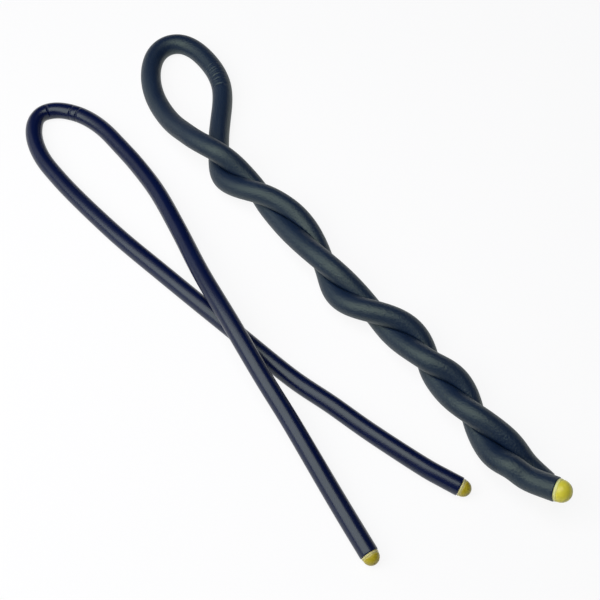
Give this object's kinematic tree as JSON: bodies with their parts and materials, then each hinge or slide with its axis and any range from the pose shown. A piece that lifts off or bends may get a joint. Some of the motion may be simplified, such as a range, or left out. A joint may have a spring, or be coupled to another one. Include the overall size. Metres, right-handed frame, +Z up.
{
  "type": "pair of bendable foam-rubber ties",
  "caption": "Bendable foam-rubber ties over a steel core wire, with domed end caps, one looped open with crossed legs and one folded and twisted round itself, for bundling hoses and cords.",
  "frame": {"origin": "centre of the pair's outline, on the ground that it lies on", "axes": "+Z up from the ground, +Y along the ties towards the slim loop and the stout eye, +X from the slim tie to the stout tie"},
  "size_m": [0.1796, 0.4887, 0.0358],
  "materials": {
    "foam_rubber": "satin extruded foam rubber",
    "core_wire": "bright annealed steel wire",
    "slim_cap_vinyl": "soft moulded vinyl, olive yellow",
    "stout_cap_vinyl": "soft moulded vinyl, lemon yellow"
  },
  "bodies": {
    "slim_loop": {"slim_sleeve_loop": "foam_rubber", "slim_wire_loop": "core_wire"},
    "slim_leg_a": {"slim_sleeve_leg_a": "foam_rubber", "slim_wire_leg_a": "core_wire", "slim_cap_a": "slim_cap_vinyl"},
    "slim_leg_b": {"slim_sleeve_leg_b": "foam_rubber", "slim_wire_leg_b": "core_wire", "slim_cap_b": "slim_cap_vinyl"},
    "stout_tie": {"stout_sleeve": "foam_rubber", "stout_wire": "core_wire", "stout_cap_a": "stout_cap_vinyl", "stout_cap_b": "stout_cap_vinyl"}
  },
  "joints": [
    {"name": "slim_leg_a_bend", "type": "hinge", "parent": "slim_loop", "child": "slim_leg_a", "pos_m": [-0.06712, -0.09273, 0.01892], "axis": [-0.9879, 0.1553, 0], "range_deg": [0, 90]},
    {"name": "slim_leg_b_bend", "type": "hinge", "parent": "slim_loop", "child": "slim_leg_b", "pos_m": [-0.0365, -0.09801, 0.01143], "axis": [-0.9713, -0.2377, 0], "range_deg": [0, 90]},
    {"name": "stout_lift", "type": "slide", "parent": "slim_loop", "child": "stout_tie", "axis": [0, 0, 1], "range_m": [0, 0.12]}
  ]
}
